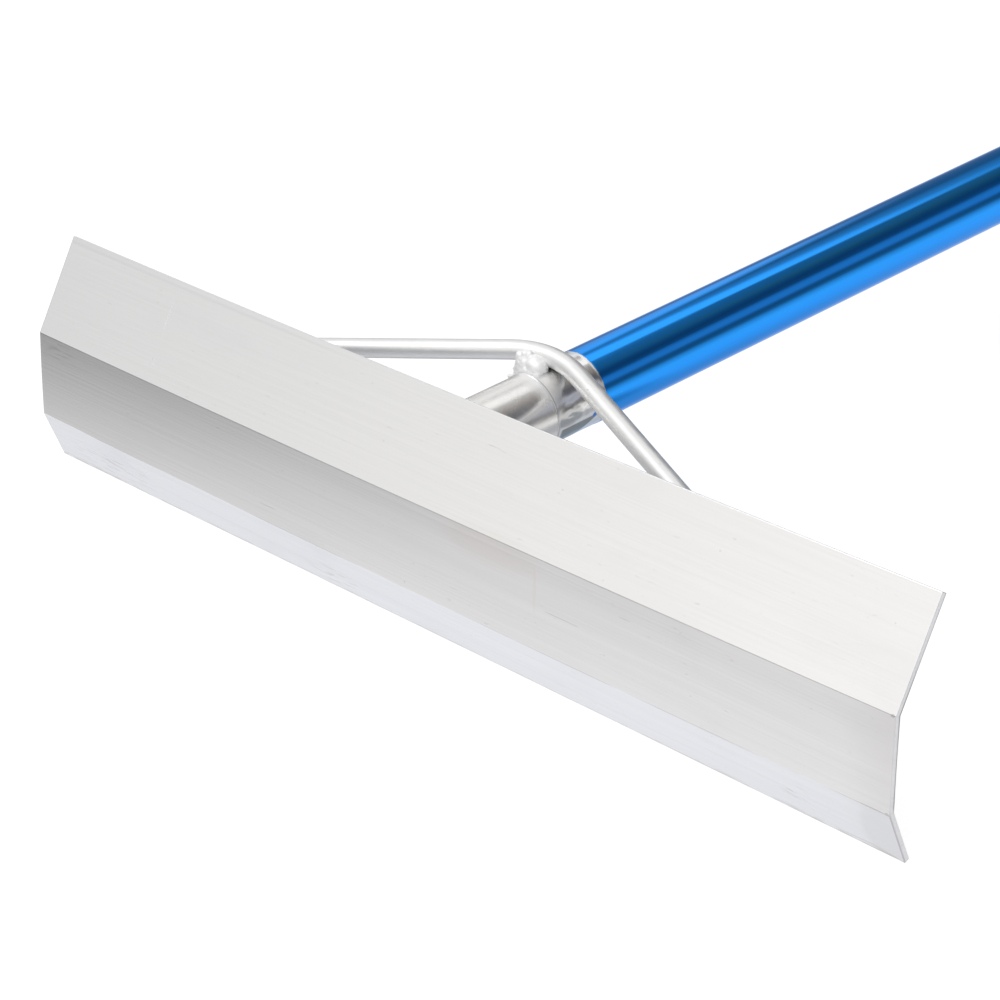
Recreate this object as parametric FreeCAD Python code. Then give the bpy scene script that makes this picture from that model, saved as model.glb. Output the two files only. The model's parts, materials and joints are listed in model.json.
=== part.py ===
import FreeCAD, Part
import math
import os

from FreeCAD import Vector

# A concrete placer, or come-along: a bent aluminium blade welded to a braced tubular handle.
#
# Every piece is drawn in the blade's own frame, then laid down as the tool lies on a floor.
# Blade frame: X along the blade, Y from its face back to the handle, Z up the middle facet,
# origin at mid-length on the upper crease of the face.
# Rest frame: +Z up, floor at z = 0, blade along X, handle along +Y, origin on the floor below
# the centre of the whole tool's box. Millimetres and degrees.

# Blade: one strip with two bends, convex on its face and hollow on the handle's side.
BLADE_LENGTH = 495.3
BLADE_THICKNESS = 2.5
UPPER_FACET = 45.2
MIDDLE_FACET = 38.5
LIP_FACET = 24.5
UPPER_BEND = 27.0
LIP_BEND = 24.5
CREASE_RADIUS = 0.6
EDGE_RADIUS = 0.35

# Handle: a straight tube, measured along its axis from the plane of the middle facet's face.
TOOL_REACH = 1524.0
TUBE_RADIUS = 15.875
TUBE_WALL = 1.65
HANDLE_RISE = 6.4
AXIS_ABOVE_CREASE = 12.7
NECK_REACH = 64.7
JOINT_GAP = 1.2
JOINT_CROWN = 0.25

# The tube's end by the joint is ground bare of its blue coat, a little below the coated surface.
BARE_BAND_REACH = 91.8
BARE_BAND_RADIUS = TUBE_RADIUS - 0.2

# Spigot inside the joint of neck and handle tube.
SPIGOT_START = 34.0
SPIGOT_END = 104.0
SPIGOT_WALL = 2.0
SPIGOT_CLEARANCE = 0.05

# Plug in the free end of the handle tube.
PLUG_HEAD_RADIUS = 15.4
PLUG_HEAD_LENGTH = 3.0
PLUG_EDGE_RADIUS = 1.2
PLUG_BODY_RADIUS = 13.6
PLUG_BODY_LENGTH = 24.0
PLUG_WALL = 2.0
PLUG_RIB_LENGTH = 1.5
PLUG_RIB_COUNT = 3
PLUG_RIB_PITCH = 6.5

# Brace: one rod bent to a V. Its bend rests on the bare band and its arms reach the blade's back,
# with their centre lines aimed at the inner crease.
ROD_RADIUS = 4.15
BRACE_REACH = 76.4
BRACE_BEND_RADIUS = 54.6
BRACE_AIM_X = 226.0
BRACE_END_X = 211.0

# Weld beads. A saddle bead runs from one point to another, given as (x, reach along the handle,
# height above its axis), with a radius.
NECK_BEAD_RADIUS = 3.2
BRACE_END_BEAD_RADIUS = 5.6
BRACE_END_BEAD_LENGTH = 9.0
SADDLE_BEADS = (
    ((-13.0, 69.5, 11.5), (-11.5, 71.0, 17.5), 3.9),
    ((-5.0, 70.0, 16.8), (0.5, 69.8, 17.0), 4.1),
)


def in_section(y, z):
    """A point of the blade's cross-section, in the plane x = 0."""
    return Vector(0, y, z)


def slanted(length, degrees_from_z, up):
    """A step along a facet that leans back from the vertical, going up or down."""
    angle = math.radians(degrees_from_z)
    return in_section(length * math.sin(angle), up * length * math.cos(angle))


def face_corners():
    """Corners of the blade's face from its top edge down to its bottom edge."""
    upper_crease = in_section(0, 0)
    lower_crease = in_section(0, -MIDDLE_FACET)
    top = upper_crease + slanted(UPPER_FACET, UPPER_BEND, 1)
    bottom = lower_crease + slanted(LIP_FACET, LIP_BEND, -1)
    return [top, upper_crease, lower_crease, bottom]


def back_corners():
    """Corners of the blade's back, one thickness behind the face, in the same order."""
    backwards = [
        in_section(math.cos(math.radians(UPPER_BEND)), -math.sin(math.radians(UPPER_BEND))),
        in_section(1, 0),
        in_section(math.cos(math.radians(LIP_BEND)), math.sin(math.radians(LIP_BEND))),
    ]
    facets_at_corner = [(0, 0), (0, 1), (1, 2), (2, 2)]
    corners = []
    for corner, (above, below) in zip(face_corners(), facets_at_corner):
        a = backwards[above]
        b = backwards[below]
        corners.append(corner + (a + b) * (BLADE_THICKNESS / (1 + a.dot(b))))
    return corners


def corner_arc(before, corner, after, radius):
    """Start, middle and end of the arc that rounds a corner between two straight runs."""
    to_before = (before - corner).normalize()
    to_after = (after - corner).normalize()
    half_angle = to_before.getAngle(to_after) / 2
    inward = (to_before + to_after).normalize()
    start = corner + to_before * (radius / math.tan(half_angle))
    end = corner + to_after * (radius / math.tan(half_angle))
    middle = corner + inward * (radius / math.sin(half_angle) - radius)
    return start, middle, end


def rounded_outline(corners):
    """Closed wire through corners given as (point, radius)."""
    arcs = []
    for i, (point, radius) in enumerate(corners):
        before = corners[i - 1][0]
        after = corners[(i + 1) % len(corners)][0]
        arcs.append(corner_arc(before, point, after, radius))
    edges = []
    for i, (start, middle, end) in enumerate(arcs):
        next_start = arcs[(i + 1) % len(arcs)][0]
        edges.append(Part.Arc(start, middle, end).toShape())
        edges.append(Part.LineSegment(end, next_start).toShape())
    return Part.Wire(edges)


def extrude_along_x(wire, length):
    """Solid with the wire as its section, centred on x = 0."""
    wire.translate(Vector(-length / 2, 0, 0))
    return Part.Face(wire).extrude(Vector(length, 0, 0))


def handle_direction():
    rise = math.radians(HANDLE_RISE)
    return in_section(math.cos(rise), math.sin(rise))


def handle_up():
    """Square to the handle's axis, on the side of the brace."""
    rise = math.radians(HANDLE_RISE)
    return in_section(-math.sin(rise), math.cos(rise))


def at_handle(x, reach, height):
    """Point at a reach along the handle, beside its axis by x and above it by height."""
    root = in_section(0, AXIS_ABOVE_CREASE)
    return root + Vector(x, 0, 0) + handle_direction() * reach + handle_up() * height


def handle_cylinder(radius, start, end):
    return Part.makeCylinder(radius, end - start, at_handle(0, start, 0), handle_direction())


def handle_ring(outer_radius, inner_radius, start, end):
    return handle_cylinder(outer_radius, start, end).cut(handle_cylinder(inner_radius, start, end))


def bead(start, end, radius):
    """Round-ended bar from start to end: half its outline, turned about its axis."""
    along = (end - start).normalize()
    out = along.cross(Vector(0, 0, 1)).normalize() * radius
    tip = along * radius
    diagonal = math.sqrt(0.5)
    outline = [
        Part.Arc(start - tip, start + (out - tip) * diagonal, start + out),
        Part.LineSegment(start + out, end + out),
        Part.Arc(end + out, end + (out + tip) * diagonal, end + tip),
        Part.LineSegment(end + tip, start - tip),
    ]
    half = Part.Face(Part.Wire([curve.toShape() for curve in outline]))
    return half.revolve(start, along, 360)


def blade():
    front = face_corners()
    back = back_corners()
    radii = [EDGE_RADIUS, CREASE_RADIUS, CREASE_RADIUS, EDGE_RADIUS]
    corners = list(zip(front, radii)) + list(zip(reversed(back), reversed(radii)))
    return extrude_along_x(rounded_outline(corners), BLADE_LENGTH)


def space_before_blade_back():
    """Everything from the blade's back forwards, to trim what is welded to the back."""
    margin = 60.0
    back = back_corners()
    above = back[0] + (back[0] - back[1]).normalize() * margin
    below = back[3] + (back[3] - back[2]).normalize() * margin
    corners = [above, back[1], back[2], below]
    corners.append(in_section(-margin, below.z))
    corners.append(in_section(-margin, above.z))
    outline = Part.makePolygon(corners + [corners[0]])
    return extrude_along_x(outline, BLADE_LENGTH)


def neck_tube():
    end = NECK_REACH - JOINT_GAP / 2
    tube = handle_ring(TUBE_RADIUS, TUBE_RADIUS - TUBE_WALL, -TUBE_RADIUS, end)
    return tube.cut(space_before_blade_back())


def handle_tube():
    start = NECK_REACH + JOINT_GAP / 2
    end = TOOL_REACH - PLUG_HEAD_LENGTH
    bore_radius = TUBE_RADIUS - TUBE_WALL
    bare_band = handle_ring(BARE_BAND_RADIUS, bore_radius, start, BARE_BAND_REACH)
    return bare_band.fuse(handle_ring(TUBE_RADIUS, bore_radius, BARE_BAND_REACH, end)).removeSplitter()


def joint_spigot():
    outer = TUBE_RADIUS - TUBE_WALL - SPIGOT_CLEARANCE
    return handle_ring(outer, outer - SPIGOT_WALL, SPIGOT_START, SPIGOT_END)


def handle_end_plug():
    """Pressed-in plug: a head with a rounded rim, and a hollow body with gripping ribs."""
    head_start = TOOL_REACH - PLUG_HEAD_LENGTH
    head = handle_cylinder(PLUG_HEAD_RADIUS, head_start, TOOL_REACH)
    rim = [e for e in head.Edges if e.CenterOfMass.isEqual(at_handle(0, TOOL_REACH, 0), 0.01)]
    head = head.makeFillet(PLUG_EDGE_RADIUS, rim)
    body_start = head_start - PLUG_BODY_LENGTH
    plug = head.fuse(handle_cylinder(PLUG_BODY_RADIUS, body_start, head_start))
    for i in range(PLUG_RIB_COUNT):
        rib_start = body_start + PLUG_RIB_PITCH * (i + 0.5)
        rib_radius = TUBE_RADIUS - TUBE_WALL
        plug = plug.fuse(handle_cylinder(rib_radius, rib_start, rib_start + PLUG_RIB_LENGTH))
    bore = handle_cylinder(PLUG_BODY_RADIUS - PLUG_WALL, body_start, head_start)
    return plug.removeSplitter().cut(bore)


def brace_frame():
    """Foot of the brace's plane on the inner crease, the way up that plane, and its length."""
    foot = back_corners()[1]
    rise = at_handle(0, BRACE_REACH, BARE_BAND_RADIUS + ROD_RADIUS) - foot
    return foot, Vector(rise).normalize(), rise.Length


def brace_point(x):
    """Point of the +X or -X arm's centre line."""
    foot, up_plane, rise = brace_frame()
    drop = rise - BRACE_BEND_RADIUS
    hypotenuse = math.hypot(BRACE_AIM_X, drop)
    slope = math.asin(BRACE_BEND_RADIUS / hypotenuse) + math.atan2(drop, BRACE_AIM_X)
    return foot + Vector(x, 0, 0) + up_plane * ((BRACE_AIM_X - abs(x)) * math.tan(slope))


def brace_rod():
    left = brace_point(-BRACE_END_X)
    peak = brace_point(0)
    right = brace_point(BRACE_END_X)
    start, middle, end = corner_arc(left, peak, right, BRACE_BEND_RADIUS)
    path = Part.Wire(
        [
            Part.LineSegment(left, start).toShape(),
            Part.Arc(start, middle, end).toShape(),
            Part.LineSegment(end, right).toShape(),
        ]
    )
    section = Part.Wire(Part.makeCircle(ROD_RADIUS, left, start - left))
    return path.makePipeShell([section], True, True).cut(space_before_blade_back())


def weld_neck_to_blade():
    """Fillet bead round the neck where its slanted end meets the back of the upper facet."""
    back = back_corners()
    along_facet = (back[0] - back[1]).normalize()
    facet_normal = Vector(1, 0, 0).cross(along_facet)
    to_facet = (back[1] - at_handle(0, 0, 0)).dot(facet_normal)
    centre = at_handle(0, to_facet / handle_direction().dot(facet_normal), 0)
    long_radius = TUBE_RADIUS / abs(handle_direction().dot(facet_normal))
    highest = centre + along_facet * long_radius
    widest = centre + Vector(TUBE_RADIUS, 0, 0)
    path = Part.Wire(Part.Ellipse(highest, widest, centre).toShape())
    section = Part.Wire(Part.makeCircle(NECK_BEAD_RADIUS, highest, Vector(1, 0, 0)))
    ring = path.makePipeShell([section], True, True)
    neck = handle_cylinder(TUBE_RADIUS, -TUBE_RADIUS, NECK_REACH)
    return ring.cut([neck, space_before_blade_back()])


def weld_neck_to_handle():
    """Bead that fills the gap between neck and handle tube, a little proud of both."""
    inner = TUBE_RADIUS - TUBE_WALL
    start = NECK_REACH - JOINT_GAP / 2
    end = NECK_REACH + JOINT_GAP / 2
    crown_start = at_handle(0, start, TUBE_RADIUS)
    crown_middle = at_handle(0, NECK_REACH, TUBE_RADIUS + JOINT_CROWN)
    crown_end = at_handle(0, end, BARE_BAND_RADIUS)
    crown = Part.Arc(crown_start, crown_middle, crown_end)
    sides = Part.makePolygon(
        [crown_end, at_handle(0, end, inner), at_handle(0, start, inner), crown_start]
    )
    section = Part.Face(Part.Wire([crown.toShape()] + sides.Edges))
    return section.revolve(at_handle(0, 0, 0), handle_direction(), 360)


def weld_brace_to_neck():
    """Two beads side by side in the hollow between the brace's bend and the tube's top."""
    beads = [bead(at_handle(*start), at_handle(*end), radius) for start, end, radius in SADDLE_BEADS]
    weld = beads[0].fuse(beads[1:])
    return weld.cut([handle_cylinder(BARE_BAND_RADIUS, NECK_REACH, 2 * BRACE_REACH), brace_rod()])


def weld_brace_end(side):
    """Bead round the end of one arm of the brace, side being -1 or 1 along X."""
    end = brace_point(side * BRACE_END_X)
    start = brace_point(side * (BRACE_END_X - BRACE_END_BEAD_LENGTH))
    weld = bead(start, end, BRACE_END_BEAD_RADIUS)
    return weld.cut([space_before_blade_back(), brace_rod()])


def build_pieces():
    """Every piece of the tool in the blade's frame, by name."""
    return {
        "blade": blade(),
        "neck_tube": neck_tube(),
        "handle_tube": handle_tube(),
        "joint_spigot": joint_spigot(),
        "handle_end_plug": handle_end_plug(),
        "brace_rod": brace_rod(),
        "weld_neck_to_blade": weld_neck_to_blade(),
        "weld_neck_to_handle": weld_neck_to_handle(),
        "weld_brace_to_neck": weld_brace_to_neck(),
        "weld_brace_end_left": weld_brace_end(-1),
        "weld_brace_end_right": weld_brace_end(1),
    }


def rest_placement(pieces):
    """Turns the tool about X until blade lip and handle end both lie on the floor."""
    lip = face_corners()[-1]
    handle_end = at_handle(0, TOOL_REACH - PLUG_HEAD_LENGTH, -TUBE_RADIUS)
    floor_line = handle_end - lip
    tilt = -math.degrees(math.atan2(floor_line.z, floor_line.y))
    turn = FreeCAD.Rotation(Vector(1, 0, 0), tilt)
    tool = Part.makeCompound(list(pieces.values()))
    tool.Placement = FreeCAD.Placement(Vector(), turn)
    box = tool.optimalBoundingBox(False, False)
    return FreeCAD.Placement(Vector(0, -box.Center.y, -box.ZMin), turn)


def main():
    os.makedirs("parts", exist_ok=True)
    pieces = build_pieces()
    placement = rest_placement(pieces)
    print(f"rest placement: turned {math.degrees(placement.Rotation.Angle):.4f} about X,"
          f" then moved {tuple(placement.Base)}")
    for name, shape in pieces.items():
        placed = shape.transformed(placement.toMatrix(), True)
        if not placed.isValid() or len(placed.Solids) != 1:
            raise RuntimeError(f"{name} isn't one valid solid")
        placed.exportStep(f"parts/{name}.step")
        print(f"{name}: {placed.Volume / 1000:.2f} cm3, {placed.optimalBoundingBox(False, False)}")


main()
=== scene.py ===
import json
import math
import random

import bmesh
import bpy
from mathutils import Matrix, Vector, noise


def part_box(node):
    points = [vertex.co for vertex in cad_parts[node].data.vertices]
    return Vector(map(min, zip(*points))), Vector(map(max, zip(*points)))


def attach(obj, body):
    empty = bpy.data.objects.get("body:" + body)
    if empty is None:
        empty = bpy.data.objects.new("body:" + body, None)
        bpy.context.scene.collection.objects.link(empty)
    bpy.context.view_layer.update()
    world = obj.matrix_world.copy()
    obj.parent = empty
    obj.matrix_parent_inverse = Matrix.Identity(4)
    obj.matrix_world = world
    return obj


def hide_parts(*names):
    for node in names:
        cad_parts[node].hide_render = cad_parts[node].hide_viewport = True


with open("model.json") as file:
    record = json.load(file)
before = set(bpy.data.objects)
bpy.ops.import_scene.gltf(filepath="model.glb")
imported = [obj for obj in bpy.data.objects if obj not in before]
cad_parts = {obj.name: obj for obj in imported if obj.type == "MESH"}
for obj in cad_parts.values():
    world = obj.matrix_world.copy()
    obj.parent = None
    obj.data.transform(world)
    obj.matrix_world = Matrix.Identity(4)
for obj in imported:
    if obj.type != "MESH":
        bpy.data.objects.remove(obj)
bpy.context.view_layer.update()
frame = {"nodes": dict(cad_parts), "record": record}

# The looks of a concrete placer: a welded aluminium blade, a blue anodised handle and a rod brace.
# Metres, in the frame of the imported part: blade along X, handle along +Y, floor at z = 0.

MM = 0.001
MOUNTS = {mount["name"]: mount for mount in frame["record"]["mounts"]}


# ---------------------------------------------------------------- places on the tool

GRIP = MOUNTS["handle_grip"]
GRIP_CENTRE = Vector(GRIP["pos_m"])
ALONG = Vector(GRIP["axis"]).normalized()
ACROSS = Vector((1, 0, 0))
ABOVE = ACROSS.cross(ALONG)
TUBE_RADIUS = GRIP["dims"]["r_mm"] * MM
GRIP_LENGTH = GRIP["dims"]["length_mm"] * MM

FACE_POINT = Vector(MOUNTS["blade_face"]["pos_m"])
FACE_NORMAL = Vector(MOUNTS["blade_face"]["axis"]).normalized()
FACETS = [
    (Vector(MOUNTS[name]["pos_m"]), Vector(MOUNTS[name]["axis"]).normalized())
    for name in ("blade_face", "blade_upper_face")
]

# The handle's axis starts where it meets the plane of the middle facet's face.
HANDLE_ROOT = GRIP_CENTRE + ALONG * ((FACE_POINT - GRIP_CENTRE).dot(FACE_NORMAL) / ALONG.dot(FACE_NORMAL))


def at_handle(x, reach, height):
    """Point in metres, from millimetres beside, along and above the handle's axis."""
    return HANDLE_ROOT + (ACROSS * x + ALONG * reach + ABOVE * height) * MM


def reach_of(point):
    """How far along the handle a point lies, in metres."""
    return (Vector(point) - HANDLE_ROOT).dot(ALONG)


def box_centre(node):
    low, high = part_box(node)
    return (low + high) / 2


BLUE_START = reach_of(GRIP_CENTRE) - GRIP_LENGTH / 2
BLUE_END = reach_of(GRIP_CENTRE) + GRIP_LENGTH / 2
JOINT = reach_of(box_centre("weld_neck_to_handle"))
BLADE_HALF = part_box("blade")[1].x
BLADE_SAG = 1.4 * MM


# ---------------------------------------------------------------- node trees

def add_node(tree, kind, inputs=None, **settings):
    """A new node with its settings, and inputs given as values or as sockets to link from."""
    made = tree.nodes.new(kind)
    for key, value in settings.items():
        setattr(made, key, value)
    for key, value in (inputs or {}).items():
        if isinstance(value, bpy.types.NodeSocket):
            tree.links.new(value, made.inputs[key])
        else:
            made.inputs[key].default_value = value
    return made


def maths(tree, operation, a, b=0.0):
    """One step of arithmetic on numbers or sockets."""
    return add_node(tree, "ShaderNodeMath", {0: a, 1: b}, operation=operation).outputs[0]


def ramp(tree, value, start, end, low=0.0, high=1.0):
    """Smooth step of a value from low at start to high at end."""
    made = add_node(
        tree,
        "ShaderNodeMapRange",
        {"Value": value, "From Min": start, "From Max": end, "To Min": low, "To Max": high},
        interpolation_type="SMOOTHSTEP",
    )
    return made.outputs[0]


def mix_colours(tree, factor, a, b, blend="MIX"):
    """Colour a blended towards b by a factor; each is a plain value or a socket."""
    made = add_node(tree, "ShaderNodeMix", data_type="RGBA", blend_type=blend)
    sockets = {0: factor, 6: a, 7: b}
    for index, value in sockets.items():
        if isinstance(value, bpy.types.NodeSocket):
            tree.links.new(value, made.inputs[index])
        elif index == 0:
            made.inputs[index].default_value = value
        else:
            made.inputs[index].default_value = (*value, 1.0)
    return made.outputs[2]


def stretched_noise(tree, point, scales, detail=3.0, roughness=0.55):
    """Noise with its own scale, per metre, along each axis."""
    scaled = add_node(
        tree, "ShaderNodeVectorMath", {0: point, 1: scales}, operation="MULTIPLY"
    ).outputs[0]
    made = add_node(
        tree,
        "ShaderNodeTexNoise",
        {"Vector": scaled, "Scale": 1.0, "Detail": detail, "Roughness": roughness},
    )
    return made.outputs["Fac"]


def mark(tree, first, second, centre, half, softness=0.5):
    """Elliptical mask over two coordinates, 1 inside and fading over its outer share."""
    offsets = [
        maths(tree, "DIVIDE", maths(tree, "SUBTRACT", socket, middle), size)
        for socket, middle, size in zip((first, second), centre, half)
    ]
    squares = [maths(tree, "MULTIPLY", offset, offset) for offset in offsets]
    return ramp(tree, maths(tree, "ADD", *squares), 1.0, 1.0 - softness)


def any_of(tree, masks):
    """The largest of several masks."""
    combined = masks[0]
    for mask in masks[1:]:
        combined = maths(tree, "MAXIMUM", combined, mask)
    return combined


def bump(tree, height, distance, strength, normal=None):
    """Normal socket bumped by a height, on top of another normal when one is given."""
    inputs = {"Height": height, "Distance": distance, "Strength": strength}
    if normal is not None:
        inputs["Normal"] = normal
    return add_node(tree, "ShaderNodeBump", inputs).outputs[0]


def start_material(name):
    """An empty material with its tree, its shader and the object-space position."""
    material = bpy.data.materials.new(name)
    material.use_nodes = True
    tree = material.node_tree
    tree.nodes.clear()
    shader = add_node(tree, "ShaderNodeBsdfPrincipled")
    add_node(tree, "ShaderNodeOutputMaterial", {"Surface": shader.outputs[0]})
    point = add_node(tree, "ShaderNodeTexCoord").outputs["Object"]
    return material, tree, shader, point


def feed(tree, shader, **sockets):
    """Links sockets into the shader, or sets plain values, by input name with underscores."""
    for key, value in sockets.items():
        target = shader.inputs[key.replace("_", " ")]
        if isinstance(value, bpy.types.NodeSocket):
            tree.links.new(value, target)
        elif isinstance(value, tuple):
            target.default_value = (*value, 1.0)
        else:
            target.default_value = value


def dot_with(tree, socket, direction):
    """How far a position or vector socket reaches along a direction."""
    made = add_node(
        tree, "ShaderNodeVectorMath", {0: socket, 1: tuple(direction)}, operation="DOT_PRODUCT"
    )
    return made.outputs["Value"]


def product(tree, *factors):
    """All the factors multiplied together."""
    result = factors[0]
    for factor in factors[1:]:
        result = maths(tree, "MULTIPLY", result, factor)
    return result


def distance_from(tree, value, level):
    """How far a value is from a level, either way."""
    return maths(tree, "ABSOLUTE", maths(tree, "SUBTRACT", value, level))


def handle_coordinates(tree, point):
    """Sockets for the reach along the handle in metres and the angle round it in degrees, 90 on top."""
    from_root = add_node(
        tree, "ShaderNodeVectorMath", {0: point, 1: tuple(HANDLE_ROOT)}, operation="SUBTRACT"
    ).outputs[0]
    reach, beside, above = [dot_with(tree, from_root, axis) for axis in (ALONG, ACROSS, ABOVE)]
    return reach, maths(tree, "DEGREES", maths(tree, "ARCTAN2", above, beside))


# ---------------------------------------------------------------- materials

# Marks on the blade, as centre and half size in metres: x along the blade and height above the floor.
BRIGHT_SCRATCHES = [
    ((-0.1711, 0.0848), (0.00022, 0.0072)),
    ((-0.1703, 0.0692), (0.00020, 0.0016)),
]
DARK_SCRATCHES = [
    ((0.0848, 0.0415), (0.0098, 0.00012)),
    ((0.0310, 0.0880), (0.0042, 0.00012)),
    ((0.1180, 0.0530), (0.0030, 0.00010)),
    ((-0.0900, 0.0310), (0.0060, 0.00010)),
]
# Painted shade at the creases: dark dots at both creases' ends and a short dark line along the lower crease.
CREASE_SHADE_MARKS = [
    ((0.2464, 0.0238), (0.0012, 0.0008)),
    ((0.2400, 0.0237), (0.0075, 0.00035)),
    ((0.2462, 0.0615), (0.0011, 0.0006)),
]
SMUDGES = [
    ((-0.0560, 0.0075), (0.019, 0.0070)),
    ((-0.2050, 0.0100), (0.036, 0.0090)),
    ((-0.2330, 0.0560), (0.012, 0.0070)),
    ((0.2000, 0.0120), (0.010, 0.0050)),
]
HEAT_LINE = ((0.0698, 0.0476), (0.0013, 0.0125))
HEAT_CLOUD = ((0.0450, 0.0570), (0.034, 0.0090))
# Painted shade towards the lip's right end.
LIP_END_SHADE = ((0.2400, 0.0110), (0.0105, 0.0160))

# The crease above the lip, how far the lip leans from upright, and a faint line below the top edge.
LOWER_CREASE = 0.0236
LIP_LEAN = math.radians(15.9)
EDGE_LINE_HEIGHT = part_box("blade")[1].z - 1.9 * MM


def depth_behind_face(tree, point):
    """How deep a point lies behind the nearest of the blade's front faces, in metres."""
    lip_top = Vector((0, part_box("blade")[0].y, LOWER_CREASE))
    lip_normal = Vector((0, -math.cos(LIP_LEAN), -math.sin(LIP_LEAN)))
    depths = [
        maths(tree, "SUBTRACT", place.dot(normal), dot_with(tree, point, normal))
        for place, normal in [*FACETS, (lip_top, lip_normal)]
    ]
    nearest = maths(tree, "MINIMUM", depths[0], depths[1])
    return maths(tree, "MINIMUM", nearest, depths[2])


def unsagged_height(tree, x, z):
    """Height on the blade as if its middle didn't sag, so that marks follow the creases."""
    share = maths(tree, "DIVIDE", x, BLADE_HALF)
    bow = maths(tree, "SUBTRACT", 1.0, maths(tree, "MULTIPLY", share, share))
    return maths(tree, "ADD", z, maths(tree, "MULTIPLY", bow, BLADE_SAG))


def end_masks(tree, point, level):
    """Masks for the blade's sawn ends and for the dark burr along their edges."""
    true_normal = add_node(tree, "ShaderNodeNewGeometry").outputs["True Normal"]
    normal_x = add_node(tree, "ShaderNodeSeparateXYZ", {0: true_normal}).outputs[0]
    endward = maths(tree, "ABSOLUTE", normal_x)
    depth = depth_behind_face(tree, point)
    at_back = ramp(tree, depth, 0.0014, 0.0020)
    at_front = ramp(tree, depth, 0.0007, 0.0003)
    above_lip = ramp(tree, level, 0.022, 0.027)
    on_lip = ramp(tree, level, 0.026, 0.022)
    fainter_up = ramp(tree, level, 0.080, 0.060, 0.45, 1.0)
    back_burr = product(tree, at_back, above_lip, fainter_up)
    lip_burr = product(tree, at_front, on_lip, 0.5)
    burr = product(tree, maths(tree, "MAXIMUM", back_burr, lip_burr), ramp(tree, endward, 0.2, 0.4))
    return ramp(tree, endward, 0.7, 0.95), burr


def blade_metal():
    """Mill aluminium: fine rolling lines along X, smudges, pits, a few scratches and rough sawn ends, with
    painted shade at the creases and towards the right end.
    """
    material, tree, shader, point = start_material("blade_mill_aluminium")
    x, _, z = add_node(tree, "ShaderNodeSeparateXYZ", {0: point}).outputs
    level = unsagged_height(tree, x, z)

    def marked(places, softness=0.5):
        return any_of(tree, [mark(tree, x, level, *place, softness) for place in places])

    lines = stretched_noise(tree, point, (9, 1100, 1100), detail=3.0, roughness=0.6)
    broad_lines = stretched_noise(tree, point, (3, 300, 300), detail=2.0)
    streaks = stretched_noise(tree, point, (90, 900, 900), detail=2.0)
    cloud = stretched_noise(tree, point, (14, 30, 30), detail=4.0)
    flecks = ramp(tree, stretched_noise(tree, point, (150, 700, 700), detail=1.0), 0.74, 0.80)
    pits = ramp(tree, stretched_noise(tree, point, (900, 900, 900), detail=0.0), 0.84, 0.90)
    grain = stretched_noise(tree, point, (1500, 1500, 1500), detail=2.0)

    bright = marked(BRIGHT_SCRATCHES)
    # Real scratches together with the painted crease shade marks.
    dark = marked([*DARK_SCRATCHES, *CREASE_SHADE_MARKS])
    smudges = product(tree, marked(SMUDGES, 0.9), ramp(tree, streaks, 0.52, 0.62))
    heat_line = product(tree, marked([HEAT_LINE], 1.0), 0.25)
    heat_cloud = product(tree, marked([HEAT_CLOUD], 1.0), 0.3)
    sawn, burr = end_masks(tree, point, level)
    end_shade = product(tree, ramp(tree, x, 0.222, 0.2476), ramp(tree, level, 0.0625, 0.0600))
    # Painted shade along the lower crease, broken up by noise.
    in_crease = ramp(tree, distance_from(tree, level, LOWER_CREASE), 0.0003, 0.0001)
    painted_crease_shade = product(tree, in_crease, ramp(tree, cloud, 0.40, 0.60))
    lip_dirt = product(tree, ramp(tree, level, 0.0035, 0.0005), ramp(tree, streaks, 0.44, 0.6))
    from_edge = distance_from(tree, level, EDGE_LINE_HEIGHT)
    edge_line = product(tree, ramp(tree, from_edge, 0.0009, 0.0002), ramp(tree, x, -0.02, -0.12))

    tint = mix_colours(tree, ramp(tree, lines, 0.3, 0.7), (0.905, 0.905, 0.905), (0.925, 0.925, 0.927))
    washes = [
        # mask, strength, colour
        (ramp(tree, cloud, 0.55, 0.8), 0.3, (0.84, 0.845, 0.86)),
        (end_shade, 0.5, (0.80, 0.79, 0.785)),
        # painted shade towards the lip's right end
        (marked([LIP_END_SHADE], 0.7), 0.9, (0.845, 0.84, 0.83)),
        (flecks, 0.25, (0.70, 0.62, 0.58)),
        (pits, 0.35, (0.50, 0.49, 0.48)),
        (smudges, 0.6, (0.72, 0.71, 0.71)),
        (maths(tree, "ADD", heat_line, heat_cloud), 1.0, (0.84, 0.79, 0.73)),
        (lip_dirt, 0.6, (0.58, 0.54, 0.50)),
        # painted shade along the lower crease
        (painted_crease_shade, 0.6, (0.50, 0.48, 0.46)),
        (edge_line, 0.3, (0.80, 0.80, 0.81)),
        # real scratches and painted crease shade
        (dark, 0.5, (0.52, 0.49, 0.47)),
        (bright, 0.8, (0.985, 0.985, 0.985)),
        (sawn, 1.0, (0.855, 0.855, 0.86)),
        (product(tree, sawn, ramp(tree, grain, 0.62, 0.72)), 0.6, (0.55, 0.54, 0.55)),
        (burr, 0.95, (0.36, 0.35, 0.35)),
    ]
    for mask, strength, colour in washes:
        tint = mix_colours(tree, product(tree, mask, strength), tint, colour)
    rough = ramp(tree, broad_lines, 0.3, 0.7, 0.17, 0.21)
    for mask, more in ((ramp(tree, cloud, 0.5, 0.8), 0.05), (sawn, 0.25), (bright, 0.25)):
        rough = maths(tree, "ADD", rough, product(tree, mask, more))
    height = maths(tree, "ADD", product(tree, lines, 0.7), product(tree, broad_lines, 0.6))
    normal = bump(tree, height, 0.00003, 0.5)
    normal = bump(tree, maths(tree, "ADD", dark, pits), -0.00004, 0.4, normal)
    normal = bump(tree, product(tree, grain, sawn), 0.0003, 0.6, normal)
    feed(tree, shader, Base_Color=tint, Metallic=1.0, Roughness=rough, Normal=normal)
    return material


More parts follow.
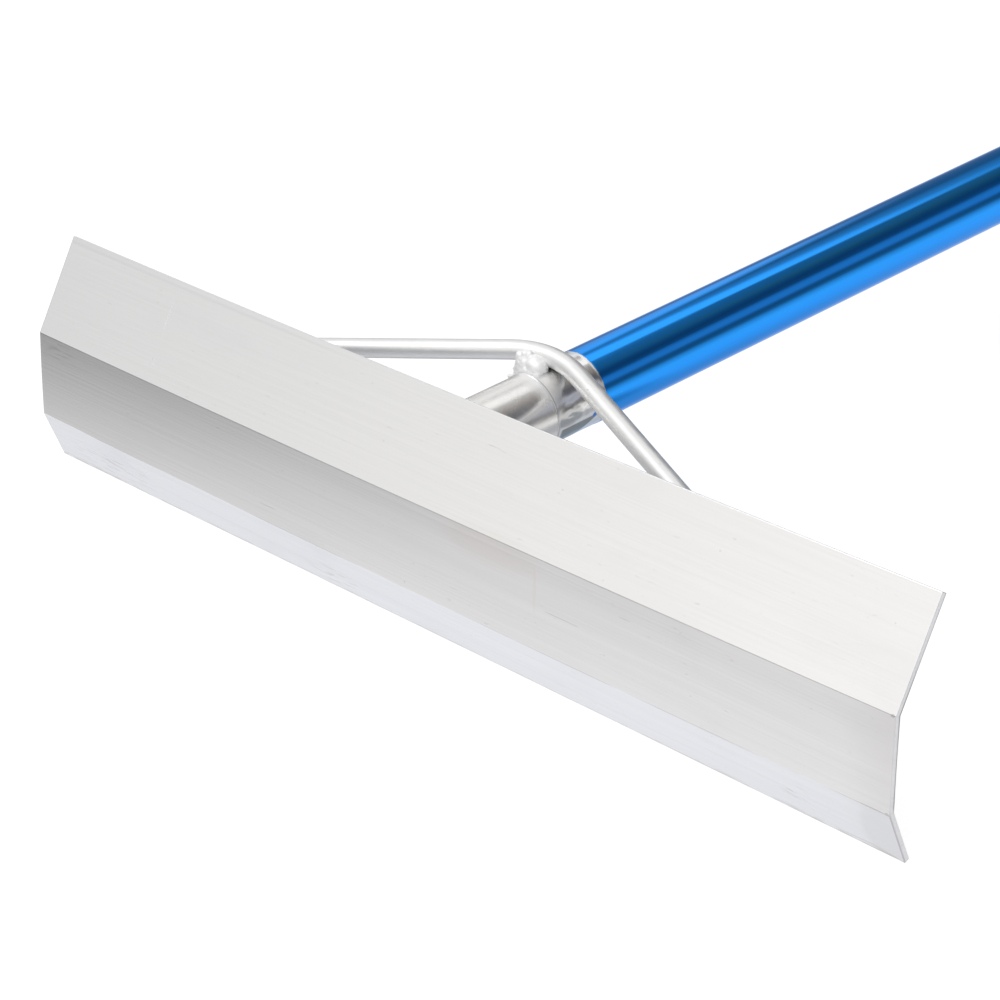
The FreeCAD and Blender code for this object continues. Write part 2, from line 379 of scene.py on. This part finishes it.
def neck_metal():
    """Drawn aluminium tube: satin, with faint draw lines, a ground patch on the joint and a dark seam."""
    material, tree, shader, point = start_material("neck_bright_aluminium")
    reach, angle = handle_coordinates(tree, point)
    mottle = stretched_noise(tree, point, (260, 160, 260), detail=4.0)
    lines = stretched_noise(tree, point, (1800, 14, 1800), detail=3.0)
    ground = mark(tree, reach, angle, (JOINT, 70.0), (0.008, 60.0), 0.9)
    ground = product(tree, ground, ramp(tree, mottle, 0.2, 0.6))
    at_joint = ramp(tree, distance_from(tree, reach, JOINT), 0.0010, 0.0005)
    seam = product(tree, at_joint, ramp(tree, angle, 84.0, 66.0))
    tint = mix_colours(tree, mottle, (0.83, 0.815, 0.79), (0.91, 0.90, 0.885))
    tint = mix_colours(tree, product(tree, ground, 0.6), tint, (0.96, 0.96, 0.97))
    tint = mix_colours(tree, product(tree, seam, 0.75), tint, (0.45, 0.45, 0.455))
    rough = ramp(tree, mottle, 0.3, 0.75, 0.22, 0.28)
    rough = maths(tree, "ADD", rough, product(tree, ground, 0.16))
    normal = bump(tree, lines, 0.00004, 0.35)
    normal = bump(tree, mottle, 0.0004, 0.12, normal)
    feed(tree, shader, Base_Color=tint, Metallic=1.0, Roughness=rough, Normal=normal)
    return material


def painted_dark_reflection_streak(tree, reach, angle):
    """Painted reflection: a long dark streak low on the bare band's right, a wedge that narrows away from
    the joint.
    """
    below_top = ramp(tree, angle, -16.5, -19.5)
    millimetres = product(tree, maths(tree, "SUBTRACT", reach, JOINT), 1 / MM)
    bottom = maths(tree, "ADD", product(tree, millimetres, 2.84), -84.0)
    above_bottom = ramp(tree, maths(tree, "SUBTRACT", angle, bottom), 0.0, 4.0)
    return product(tree, below_top, above_bottom, ramp(tree, millimetres, 1.0, 3.0))


def bare_band_colour(tree, reach, angle, wrinkles):
    """Ground aluminium with a painted dark reflection streak, a grey patch of painted shade reflection and a
    little of the blue left on it.
    """
    dark_reflection = painted_dark_reflection_streak(tree, reach, angle)
    shade_reflection_patch = mark(tree, reach, angle, (JOINT + 0.006, 0.0), (0.0085, 17.0), 0.4)
    left_blue = mark(tree, reach, angle, (JOINT + 0.0205, -18.0), (0.0016, 6.0), 0.8)
    bare = mix_colours(tree, wrinkles, (0.77, 0.76, 0.74), (0.88, 0.87, 0.855))
    # Painted dark reflection, then a grey patch of painted shade reflection.
    bare = mix_colours(tree, product(tree, dark_reflection, 0.9), bare, (0.24, 0.25, 0.23))
    bare = mix_colours(tree, product(tree, shade_reflection_patch, 0.6), bare, (0.44, 0.45, 0.445))
    return mix_colours(tree, left_blue, bare, (0.10, 0.26, 0.62))


def handle_metal():
    """Blue anodised tube under a clear glossy surface, ground bare at its end by the joint."""
    material, tree, shader, point = start_material("handle_blue_anodised")
    reach, angle = handle_coordinates(tree, point)
    ragged = stretched_noise(tree, point, (500, 500, 500), detail=3.0)
    lines = stretched_noise(tree, point, (2200, 6, 2200), detail=3.0)
    specks = stretched_noise(tree, point, (1400, 900, 1400), detail=1.0)
    wrinkles = stretched_noise(tree, point, (150, 110, 150), detail=2.0)
    mottle = stretched_noise(tree, point, (60, 10, 60), detail=3.0)

    raggedness = product(tree, maths(tree, "SUBTRACT", ragged, 0.5), 0.0012)
    edge = maths(tree, "ADD", reach, raggedness)
    blue = ramp(tree, edge, BLUE_START - 0.0007, BLUE_START - 0.0003)
    bareness = maths(tree, "SUBTRACT", 1.0, blue)
    ground = product(tree, bareness, mark(tree, reach, angle, (JOINT, 70.0), (0.009, 60.0), 0.8))
    worked = mark(tree, reach, angle, (JOINT + 0.012, 2.0), (0.011, 26.0), 0.8)

    anodised = mix_colours(tree, lines, (0.016, 0.30, 0.93), (0.022, 0.335, 0.97))
    anodised = mix_colours(tree, ramp(tree, specks, 0.76, 0.84, 0.0, 0.4), anodised, (0.2, 0.5, 0.9))
    tint = mix_colours(tree, blue, bare_band_colour(tree, reach, angle, wrinkles), anodised)
    rough = ramp(tree, mottle, 0.3, 0.7, 0.08, 0.12)
    rough = maths(tree, "ADD", rough, product(tree, bareness, 0.07))
    rough = maths(tree, "ADD", rough, product(tree, ground, 0.3))
    depth = product(tree, bareness, maths(tree, "ADD", 0.25, worked))
    normal = bump(tree, lines, 0.00003, 0.2)
    normal = bump(tree, product(tree, wrinkles, depth), 0.0012, 0.4, normal)
    feed(
        tree, shader, Base_Color=tint, Metallic=1.0, Roughness=rough, Normal=normal,
        Specular_Tint=(0.68, 0.82, 1.0), Coat_Weight=0.10, Coat_Roughness=0.06,
    )
    return material


def rod_metal():
    """Satin rod with tiny scuffs."""
    material, tree, shader, point = start_material("rod_satin_aluminium")
    mottle = stretched_noise(tree, point, (120, 400, 400), detail=4.0)
    scuffs = stretched_noise(tree, point, (350, 900, 900), detail=2.0)
    scuffed = ramp(tree, scuffs, 0.70, 0.78)
    tint = mix_colours(tree, mottle, (0.85, 0.85, 0.845), (0.92, 0.92, 0.92))
    tint = mix_colours(tree, product(tree, scuffed, 0.5), tint, (0.5, 0.48, 0.45))
    rough = ramp(tree, mottle, 0.3, 0.75, 0.42, 0.50)
    height = maths(tree, "SUBTRACT", product(tree, mottle, 0.5), product(tree, scuffed, 0.12))
    normal = bump(tree, height, 0.0002, 0.35)
    feed(tree, shader, Base_Color=tint, Metallic=1.0, Roughness=rough, Normal=normal)
    return material


def weld_metal():
    """Frosty weld aluminium, whiter and rougher than what it joins."""
    material, tree, shader, point = start_material("weld_frosty_aluminium")
    frost = stretched_noise(tree, point, (1300, 1300, 1300), detail=3.0)
    patches = stretched_noise(tree, point, (260, 260, 260), detail=3.0)
    tint = mix_colours(tree, patches, (0.93, 0.93, 0.935), (0.985, 0.985, 0.985))
    rough = ramp(tree, patches, 0.3, 0.7, 0.48, 0.60)
    normal = bump(tree, frost, 0.0002, 0.2)
    feed(tree, shader, Base_Color=tint, Metallic=0.5, Roughness=rough, Normal=normal)
    return material


def plug_plastic():
    """Moulded black plastic with a fine spark-eroded grain."""
    material, tree, shader, point = start_material("plug_black_plastic")
    grain = stretched_noise(tree, point, (2400, 2400, 2400), detail=2.0)
    wear = stretched_noise(tree, point, (240, 240, 240), detail=4.0)
    tint = mix_colours(tree, ramp(tree, wear, 0.5, 0.8), (0.018, 0.018, 0.019), (0.05, 0.05, 0.05))
    rough = ramp(tree, wear, 0.3, 0.7, 0.42, 0.58)
    feed(tree, shader, Base_Color=tint, Roughness=rough, Normal=bump(tree, grain, 0.0002, 0.4))
    return material


# ---------------------------------------------------------------- pieces

# Extra rows close to an edge and along a long side keep smooth shading flat. Noise scales are per metre,
# apart from DENTS_AROUND, which goes with the direction round the tube.
SUPPORT = 0.3 * MM
LONGEST_STEP = 6.0 * MM

BLADE_STATIONS = 240
END_ROUNDING = 0.25 * MM
MIDDLE_BOW = 0.2 * MM
BLADE_WAVE = 0.12 * MM
WAVES_ALONG, WAVES_UP = 14, 25

TUBE_SEGMENTS = 192
TUBE_WALL = 1.65 * MM
TUBE_CHAMFER = 0.3 * MM
BARE_RADIUS = TUBE_RADIUS - 0.2 * MM
BARE_START = JOINT + 0.3 * MM
RISE_START = BLUE_START - 1.6 * MM
DENT_DEPTH = 0.12 * MM
DENT_FADE = 2.0 * MM
DENTS_AROUND, DENTS_ALONG = 1.6, 110
BAND_ROWS, RISE_ROWS, BLUE_ROWS = 50, 12, 60

WELD_LUMP = 0.05 * MM
LUMPS, FINE_LUMPS = 420, 1100


def piece_from(name, vertices, faces, material, slot, *nodes):
    """A smooth mesh piece that rides on the tool and stands for CAD nodes."""
    mesh = bpy.data.meshes.new(name)
    mesh.from_pydata([tuple(v) for v in vertices], [], faces)
    mesh.validate()
    piece = bpy.data.objects.new(name, mesh)
    bpy.context.scene.collection.objects.link(piece)
    return finish_piece(piece, material, slot, *nodes)


def finish_piece(piece, material, slot, *nodes):
    """Outward normals, one material and smooth shading; rides on the tool in place of CAD nodes."""
    recalculated = bmesh.new()
    recalculated.from_mesh(piece.data)
    bmesh.ops.recalc_face_normals(recalculated, faces=recalculated.faces)
    recalculated.to_mesh(piece.data)
    recalculated.free()
    piece.data.materials.clear()
    piece.data.materials.append(material)
    piece.data.polygons.foreach_set("use_smooth", [True] * len(piece.data.polygons))
    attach(piece, "root")
    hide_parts(*nodes)
    return piece


def section_outline(node):
    """Points (y, z) round a straight node's section, in order, read from its end face."""
    shape = bmesh.new()
    shape.from_mesh(frame["nodes"][node].data)
    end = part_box(node)[1].x
    away = [f for f in shape.faces if any(abs(v.co.x - end) > 1e-6 for v in f.verts)]
    bmesh.ops.delete(shape, geom=away, context="FACES")
    bmesh.ops.remove_doubles(shape, verts=shape.verts, dist=1e-7)
    rim = {v: [e.other_vert(v) for e in v.link_edges if e.is_boundary] for v in shape.verts}
    rim = {v: others for v, others in rim.items() if others}
    start = min(rim, key=lambda v: v.co.z)
    outline = [start]
    step = rim[start][0]
    while step is not start:
        before = outline[-1]
        outline.append(step)
        step = next(v for v in rim[step] if v is not before)
    points = [(v.co.y, v.co.z) for v in outline]
    shape.free()
    return points


def with_support(points):
    """The closed outline with extra points in its long sides, so that smooth shading keeps them flat."""
    refined = []
    for a, b in zip(points, points[1:] + points[:1]):
        length = math.dist(a, b)
        refined.append(a)
        if length < LONGEST_STEP:
            continue
        steps = math.ceil(length / LONGEST_STEP)
        inner = [length * i / steps for i in range(1, steps)]
        for place in [SUPPORT, *inner, length - SUPPORT]:
            share = place / length
            refined.append((a[0] + (b[0] - a[0]) * share, a[1] + (b[1] - a[1]) * share))
    return refined


def outline_normals(points):
    """Outward unit normals of a closed outline."""
    normals = []
    area = sum(a[0] * b[1] - b[0] * a[1] for a, b in zip(points, points[1:] + points[:1]))
    side = 1 if area > 0 else -1
    for i in range(len(points)):
        before = points[i - 1]
        after = points[(i + 1) % len(points)]
        out = Vector((after[1] - before[1], before[0] - after[0])).normalized() * side
        normals.append(out)
    return normals


def loop_faces(rows, count, closed):
    """Quads between rows of so many points each; closed joins the last row to the first."""
    faces = []
    for r in range(rows if closed else rows - 1):
        n = (r + 1) % rows
        for i in range(count):
            j = (i + 1) % count
            faces.append((r * count + i, r * count + j, n * count + j, n * count + i))
    return faces


def blade_piece(material):
    """The blade's section swept along X, with the slight sag and waviness of a welded strip."""
    outline = with_support(section_outline("blade"))
    normals = outline_normals(outline)
    lower_crease = min(outline)[1]
    middle = FACETS[0][0].z
    half_middle = middle - lower_crease
    outline = [(y - MIDDLE_BOW * max(0.0, 1 - ((z - middle) / half_middle) ** 2), z) for y, z in outline]
    stations = [-BLADE_HALF + END_ROUNDING * share for share in (0.0, 0.3, 1.0)]
    span = BLADE_HALF - 2 * END_ROUNDING
    stations += [span * (2 * i / BLADE_STATIONS - 1) for i in range(BLADE_STATIONS + 1)]
    stations += [-x for x in reversed(stations[:3])]
    insets = {0: 1.0, 1: 0.29, len(stations) - 1: 1.0, len(stations) - 2: 0.29}
    vertices = []
    for s, x in enumerate(stations):
        inset = END_ROUNDING * insets.get(s, 0.0)
        bow = 1 - (x / BLADE_HALF) ** 2
        for (y, z), out in zip(outline, normals):
            share = min(1.0, max(0.0, z / lower_crease))
            wave = (0.5 + 0.5 * noise.noise(Vector((x * WAVES_ALONG, z * WAVES_UP, 3.7)))) * BLADE_WAVE * bow
            vertices.append(
                (x, y - out[0] * inset + wave, z - out[1] * inset - BLADE_SAG * bow * share)
            )
    count = len(outline)
    faces = loop_faces(len(stations), count, closed=False)
    faces.append(tuple(range(count)))
    faces.append(tuple(range((len(stations) - 1) * count, len(stations) * count)))
    piece = piece_from("blade_strip", vertices, faces, material, "blade_aluminium", "blade")
    for polygon in piece.data.polygons[-2:]:
        polygon.use_smooth = False
    return piece


def round_handle(angle):
    """Unit vector out from the handle's axis at an angle in radians, pi / 2 on top."""
    return ACROSS * math.cos(angle) + ABOVE * math.sin(angle)


def dent(reach, angle, radius):
    """How far the bare band is hammered in, in metres: a negative number, or 0 off the band."""
    if radius < BARE_RADIUS or reach > BLUE_START:
        return 0.0
    fade = min(1.0, (reach - BARE_START) / DENT_FADE, (BLUE_START - reach) / DENT_FADE)
    turned = (math.cos(angle) * DENTS_AROUND, math.sin(angle) * DENTS_AROUND)
    return -abs(noise.noise(Vector((*turned, reach * DENTS_ALONG)))) * DENT_DEPTH * max(0.0, fade)


def spread(start, end, steps):
    """Evenly spaced values after start, up to and with end."""
    return [start + (end - start) * i / steps for i in range(1, steps + 1)]


def handle_profile():
    """Closed outline (reach, radius) of the handle's wall, in metres, from the joint to the free end."""
    bore = TUBE_RADIUS - TUBE_WALL
    band_start = BARE_START + TUBE_CHAMFER
    profile = [(BARE_START, bore), (BARE_START, BARE_RADIUS - TUBE_CHAMFER), (band_start, BARE_RADIUS)]
    profile += [(reach, BARE_RADIUS) for reach in spread(band_start, RISE_START, BAND_ROWS)]
    for i in range(1, RISE_ROWS):
        share = i / RISE_ROWS
        rise = (TUBE_RADIUS - BARE_RADIUS) * share * share * (3 - 2 * share)
        profile.append((RISE_START + (BLUE_START - RISE_START) * share, BARE_RADIUS + rise))
    blue_from = BLUE_START + SUPPORT
    blue_to = BLUE_END - TUBE_CHAMFER - SUPPORT
    blue_rows = spread(blue_from, blue_to, BLUE_ROWS)
    full_reaches = [BLUE_START, BLUE_START + 0.1 * MM, blue_from, *blue_rows]
    profile += [(reach, TUBE_RADIUS) for reach in [*full_reaches, BLUE_END - TUBE_CHAMFER]]
    return profile + [(BLUE_END, TUBE_RADIUS - TUBE_CHAMFER), (BLUE_END, bore)]


def handle_piece(material):
    """The handle tube, turned about its axis, with a dented bare band that rises to the blue coat."""
    profile = handle_profile()
    vertices = []
    for reach, radius in profile:
        for i in range(TUBE_SEGMENTS):
            angle = 2 * math.pi * i / TUBE_SEGMENTS
            out = radius + dent(reach, angle, radius)
            vertices.append(HANDLE_ROOT + ALONG * reach + round_handle(angle) * out)
    faces = loop_faces(len(profile), TUBE_SEGMENTS, closed=True)
    return piece_from(
        "handle_tube_blue", vertices, faces, material, "blue_anodised_aluminium", "handle_tube"
    )


def fused_blobs(name, blobs, voxel, material, slot, *nodes):
    """Weld metal: squashed balls given as (centre, radii, run direction), fused into one lumpy skin."""
    shape = bmesh.new()
    for centre, (along, round_about), run in blobs:
        turn = Vector((0, 0, 1)).rotation_difference(run).to_matrix().to_4x4()
        size = Matrix.Diagonal((round_about, round_about, along, 1.0))
        bmesh.ops.create_icosphere(
            shape, subdivisions=3, radius=1.0, matrix=Matrix.Translation(centre) @ turn @ size
        )
    mesh = bpy.data.meshes.new(name)
    shape.to_mesh(mesh)
    shape.free()
    piece = bpy.data.objects.new(name, mesh)
    bpy.context.scene.collection.objects.link(piece)
    remesh = piece.modifiers.new("fuse", "REMESH")
    remesh.mode = "VOXEL"
    remesh.voxel_size = voxel
    smooth = piece.modifiers.new("soften", "SMOOTH")
    smooth.factor = 0.5
    smooth.iterations = 12
    evaluated = piece.evaluated_get(bpy.context.evaluated_depsgraph_get())
    fused = bpy.data.meshes.new_from_object(evaluated)
    piece.modifiers.clear()
    piece.data = fused
    for vertex in fused.vertices:
        lump = noise.noise(vertex.co * LUMPS) + 0.25 * noise.noise(vertex.co * FINE_LUMPS)
        vertex.co += vertex.normal * lump * WELD_LUMP
    return finish_piece(piece, material, slot, *nodes)


def bead_blobs(points, radius, pitch, rng):
    """Blobs along a run of points, a weld's ripple apart, each a little uneven."""
    blobs = []
    for a, b in zip(points, points[1:]):
        run = b - a
        count = max(1, round(run.length / pitch))
        for i in range(count):
            size = radius * rng.uniform(0.92, 1.06)
            blobs.append((a + run * (i / count), (size * 0.55, size), run.normalized()))
    blobs.append((points[-1], (radius * 0.8, radius), (points[-1] - points[-2]).normalized()))
    return blobs


# The weld between brace and tube, in millimetres beside, along and above the handle's axis.
# Folds are runs of weld metal with their radius, lumps are single balls with radius and squash.
SADDLE_FOLDS = [
    ([(-12.0, 70.2, 9.5), (-12.1, 70.4, 14.0), (-11.4, 71.2, 19.2)], 2.0),
    ([(-10.2, 69.2, 12.2), (-9.9, 69.9, 16.4), (-8.6, 71.6, 20.2)], 1.9),
    ([(-8.0, 68.6, 13.6), (-7.4, 69.4, 17.2), (-6.0, 71.8, 20.6)], 2.1),
    ([(-6.0, 68.5, 14.4), (-3.4, 68.2, 15.2), (1.6, 68.8, 15.2)], 1.9),
    ([(-13.6, 70.2, 12.6), (-13.9, 69.8, 10.8), (-14.8, 68.9, 9.6), (-15.8, 67.8, 9.6)], 0.9),
    ([(-13.4, 70.4, 13.6), (-14.8, 70.0, 12.4)], 0.8),
]
SADDLE_LUMPS = [
    ((-2.2, 71.2, 17.6), 4.4, 0.86),
    ((-0.4, 70.6, 17.0), 3.9, 0.90),
]


def saddle_weld_piece(material, rng):
    """Two lumpy beads between the brace's bend and the tube, with thin drips beside them."""
    blobs = []
    for run, radius in SADDLE_FOLDS:
        blobs += bead_blobs([at_handle(*place) for place in run], radius * MM, 0.7 * MM, rng)
    for place, radius, squash in SADDLE_LUMPS:
        lean = Vector((rng.uniform(-0.2, 0.2), rng.uniform(-0.2, 0.2), 1.0)).normalized()
        blobs.append((at_handle(*place), (radius * squash * MM, radius * MM), lean))
    return fused_blobs(
        "weld_saddle_lumpy", blobs, 0.28 * MM, material, "weld_aluminium", "weld_brace_to_neck"
    )


def neck_weld_piece(material, rng):
    """The fillet bead round the neck on the blade's back, kept behind both facets' faces."""
    behind_face = 3.5 * MM
    off_tube = 0.6 * MM
    steps = 48
    planes = [(point - normal * behind_face, normal) for point, normal in FACETS]
    points = []
    for i in range(steps + 1):
        start = HANDLE_ROOT + round_handle(2 * math.pi * i / steps) * (TUBE_RADIUS + off_tube)
        reach = max((place - start).dot(normal) / ALONG.dot(normal) for place, normal in planes)
        points.append(start + ALONG * reach)
    blobs = bead_blobs(points, 2.4 * MM, 2.2 * MM, rng)
    return fused_blobs("weld_neck_bead", blobs, 0.4 * MM, material, "weld_aluminium", "weld_neck_to_blade")


def main():
    rng = random.Random(7)
    blade_piece(blade_metal())
    handle_piece(handle_metal())
    weld = weld_metal()
    saddle_weld_piece(weld, rng)
    neck_weld_piece(weld, rng)
    neck = neck_metal()
    finishes = {
        "neck_tube": neck,
        "joint_spigot": neck,
        "handle_end_plug": plug_plastic(),
        "brace_rod": rod_metal(),
        "weld_neck_to_handle": neck,
        "weld_brace_end_left": weld,
        "weld_brace_end_right": weld,
    }
    for node, material in finishes.items():
        shown = frame["nodes"][node]
        shown.data.materials.clear()
        shown.data.materials.append(material)


# ---------------------------------------------------------------- studio

# The studio's surround, as metal sees it: brightness by elevation in degrees for each sector of
# bearings, which are counted from +Y towards +X. FRONT is what the sectors leave free.
FRONT = [
    (-90, 0.55), (-64, 0.92), (-30, 0.96), (-22, 0.84), (-17, 0.82), (-13, 0.62), (-9, 0.12), (1, 0.12),
    (7, 0.70), (12, 1.02), (60, 1.02), (90, 0.9),
]
FRONT_LEFT = [
    (-90, 0.45), (-62, 0.66), (-52, 0.94), (-26, 0.96), (-19, 0.66), (-15, 0.30), (-11, 0.12), (2, 0.12),
    (8, 0.55), (13, 0.68), (30, 0.70), (60, 0.85), (90, 0.9),
]
LEFT = [
    (-90, 0.40), (-60, 0.50), (-48, 0.70), (-38, 0.50), (-30, 0.42), (2, 0.38), (9, 0.72),
    (18, 0.78), (45, 0.84), (90, 0.9),
]
REAR_LEFT = [
    (-90, 0.40), (-56, 0.60), (-48, 0.76), (-42, 0.82), (-34, 0.84), (-20, 0.82), (-11, 0.66),
    (-4, 0.36), (6, 0.26), (30, 0.22), (38, 0.42), (41, 0.50), (45, 1.2), (52, 1.2), (60, 1.0), (90, 0.9),
]
REAR_RIGHT = [
    (-90, 0.40), (-56, 0.60), (-48, 0.80), (-42, 0.92), (-34, 1.02), (-20, 1.02), (-11, 0.68),
    (-4, 0.24), (2, 0.18), (6, 0.27), (10, 0.48), (17, 0.47), (21, 0.34), (24, 0.15), (31, 0.11),
    (36, 0.15), (41, 0.24), (48, 0.30), (54, 0.7), (90, 0.9),
]
SECTORS = [
    # bearings at the horizon, softness, lean of the first edge by elevation, brightness
    ((-132, -60), 22, 0.0, FRONT_LEFT),
    ((-98, -48), 8, 0.0, LEFT),
    ((-49.2, 1), 5, 0.3, REAR_LEFT),
    ((0, 100), 8, 0.0, REAR_RIGHT),
]
SURROUND_TINTS = [
    # bearings, elevations, softness, tint that multiplies
    ((-180, 180), (-90, -30), 12, (0.945, 0.955, 1.0)),  # pale blue sweep below
    ((-180, -100), (-25, -8), 8, (1.0, 0.984, 0.988)),  # rosy front
    ((-180, -132), (12, 60), 14, (1.0, 0.985, 0.965)),  # warm front
    ((2, 30), (34, 43), 6, (1.34, 1.0, 0.80)),  # brown wall
    ((22, 60), (3, 36), 8, (0.93, 0.965, 1.12)),  # cool corner
]
BACKDROP = (1.0, 1.0, 1.0)

CARD_BESIDE = 0.10
CARD_ALONG = -0.635
CARD_HEIGHT = 0.001
CARD_HALF = (0.08, 0.075)

FLOOR_HALF = 60.0

CAMERA_AZIMUTH = 50.019
CAMERA_ELEVATION = 29.183
CAMERA_ROLL = 6.556
CAMERA_AIM = Vector((0.012808, -0.725783, 0.049993))
CAMERA_DISTANCE = 1.2713
CAMERA_LENS = 115.843

KEY_PLACE = Vector((-0.9, -1.6, 2.2))
KEY_AIM = Vector((0, -0.72, 0.06))
KEY_SIZE = (1.6, 1.2)
KEY_WATTS = 12.0


def elevation_ramp(tree, share, stops):
    """Brightness by elevation, as a colour ramp over the share of the way from nadir to zenith."""
    made = add_node(tree, "ShaderNodeValToRGB", {"Fac": share})
    elements = made.color_ramp.elements
    while len(elements) > 1:
        elements.remove(elements[-1])
    for i, (elevation, brightness) in enumerate(stops):
        element = elements[0] if i == 0 else elements.new(1.0)
        element.position = (elevation + 90) / 180
        element.color = (brightness, brightness, brightness, 1.0)
    return made.outputs["Color"]


def window_mask(tree, value, start, end, softness):
    """1 between start and end, fading to 0 outside."""
    half = softness / 2
    rises = ramp(tree, value, start - half, start + half)
    falls = ramp(tree, value, end - half, end + half, 1.0, 0.0)
    return product(tree, rises, falls)


def surround():
    """World light by direction, as reflected in the metal. The backdrop itself is seen plain."""
    world = bpy.data.worlds.new("studio")
    bpy.context.scene.world = world
    world.use_nodes = True
    tree = world.node_tree
    tree.nodes.clear()
    direction = add_node(tree, "ShaderNodeTexCoord").outputs["Generated"]
    parts = add_node(tree, "ShaderNodeSeparateXYZ", {0: direction}).outputs
    bearing = maths(tree, "DEGREES", maths(tree, "ARCTAN2", parts[0], parts[1]))
    elevation = maths(tree, "DEGREES", maths(tree, "ARCSINE", parts[2]))
    share = maths(tree, "DIVIDE", maths(tree, "ADD", elevation, 90.0), 180.0)
    shown = elevation_ramp(tree, share, FRONT)
    for (start, end), softness, lean, stops in SECTORS:
        half = softness / 2
        straightened = maths(tree, "SUBTRACT", bearing, product(tree, elevation, lean))
        rises = ramp(tree, straightened, start - half, start + half)
        falls = ramp(tree, bearing, end - half, end + half, 1.0, 0.0)
        mask = product(tree, rises, falls)
        shown = mix_colours(tree, mask, shown, elevation_ramp(tree, share, stops))
    for bearings, elevations, softness, tint in SURROUND_TINTS:
        across = window_mask(tree, bearing, *bearings, softness)
        mask = product(tree, across, window_mask(tree, elevation, *elevations, softness))
        shown = mix_colours(tree, mask, shown, tint, "MULTIPLY")
    seen = add_node(tree, "ShaderNodeLightPath").outputs["Is Camera Ray"]
    shown = mix_colours(tree, seen, shown, BACKDROP)
    background = add_node(tree, "ShaderNodeBackground", {"Color": shown, "Strength": 1.0})
    add_node(tree, "ShaderNodeOutputWorld", {"Surface": background.outputs[0]})


def flat_square(name, material, half):
    """A level square about the origin, from -half to half both ways."""
    mesh = bpy.data.meshes.new(name)
    corners = [(-half, -half, 0), (half, -half, 0), (half, half, 0), (-half, half, 0)]
    mesh.from_pydata(corners, [], [(0, 1, 2, 3)])
    mesh.materials.append(material)
    square = bpy.data.objects.new(name, mesh)
    bpy.context.scene.collection.objects.link(square)
    return square


def shade_cards():
    """Grey cards just above the floor on both sides of the joint, seen only in the metal as shade."""
    material = bpy.data.materials.new("shade_card")
    material.use_nodes = True
    tree = material.node_tree
    tree.nodes.clear()
    place = add_node(tree, "ShaderNodeTexCoord").outputs["Object"]
    x, y, _ = add_node(tree, "ShaderNodeSeparateXYZ", {0: place}).outputs
    across = ramp(tree, maths(tree, "ABSOLUTE", x), 1.0, 0.35)
    along = ramp(tree, maths(tree, "ABSOLUTE", y), 1.0, 0.35)
    cover = product(tree, across, along, 0.75)
    clear = add_node(tree, "ShaderNodeBsdfTransparent")
    grey = add_node(tree, "ShaderNodeEmission", {"Color": (0.26, 0.28, 0.31, 1.0), "Strength": 1.0})
    mixed = add_node(tree, "ShaderNodeMixShader", {0: cover, 1: clear.outputs[0], 2: grey.outputs[0]})
    add_node(tree, "ShaderNodeOutputMaterial", {"Surface": mixed.outputs[0]})
    for name, side in (("shade_card_left", -1), ("shade_card_right", 1)):
        card = flat_square(name, material, 1.0)
        card.location = (side * CARD_BESIDE, CARD_ALONG, CARD_HEIGHT)
        card.scale = (*CARD_HALF, 1.0)
        card.visible_camera = False
        card.visible_diffuse = False
        card.visible_shadow = False


def floor_piece():
    """A wide grey floor that looks white by its own light, like a light table, so that shadows are faint."""
    material, tree, shader, point = start_material("floor_pale")
    speckle = stretched_noise(tree, point, (6, 6, 6), detail=2.0)
    tint = mix_colours(tree, speckle, (0.27, 0.27, 0.27), (0.29, 0.29, 0.29))
    feed(
        tree, shader, Base_Color=tint, Roughness=0.9, Specular_IOR_Level=0.0,
        Emission_Color=(1.0, 1.0, 1.0), Emission_Strength=0.85,
    )
    floor = flat_square("floor", material, FLOOR_HALF)
    floor.visible_glossy = False


def camera():
    """Looks down on the blade's face from the front right, rolled a little."""
    azimuth = math.radians(CAMERA_AZIMUTH)
    elevation = math.radians(CAMERA_ELEVATION)
    roll = math.radians(CAMERA_ROLL)
    flat = math.cos(elevation)
    back = Vector((math.sin(azimuth) * flat, -math.cos(azimuth) * flat, math.sin(elevation)))
    level_right = Vector((0, 0, 1)).cross(back).normalized()
    level_up = back.cross(level_right)
    right = level_right * math.cos(roll) - level_up * math.sin(roll)
    up = level_up * math.cos(roll) + level_right * math.sin(roll)
    data = bpy.data.cameras.new("camera")
    data.lens = CAMERA_LENS
    data.sensor_width = 36.0
    made = bpy.data.objects.new("camera", data)
    bpy.context.scene.collection.objects.link(made)
    turn = Matrix((right, up, back)).transposed().to_4x4()
    made.matrix_world = Matrix.Translation(CAMERA_AIM + back * CAMERA_DISTANCE) @ turn
    bpy.context.scene.camera = made


def key_light():
    """One large soft light above the front left."""
    data = bpy.data.lights.new("key", "AREA")
    data.shape = "RECTANGLE"
    data.size, data.size_y = KEY_SIZE
    data.energy = KEY_WATTS
    made = bpy.data.objects.new("key", data)
    bpy.context.scene.collection.objects.link(made)
    made.location = KEY_PLACE
    made.rotation_mode = "QUATERNION"
    made.rotation_quaternion = (KEY_AIM - KEY_PLACE).to_track_quat("-Z", "Y")


main()
surround()
floor_piece()
shade_cards()
key_light()
camera()
bpy.context.scene.view_settings.view_transform = "Standard"
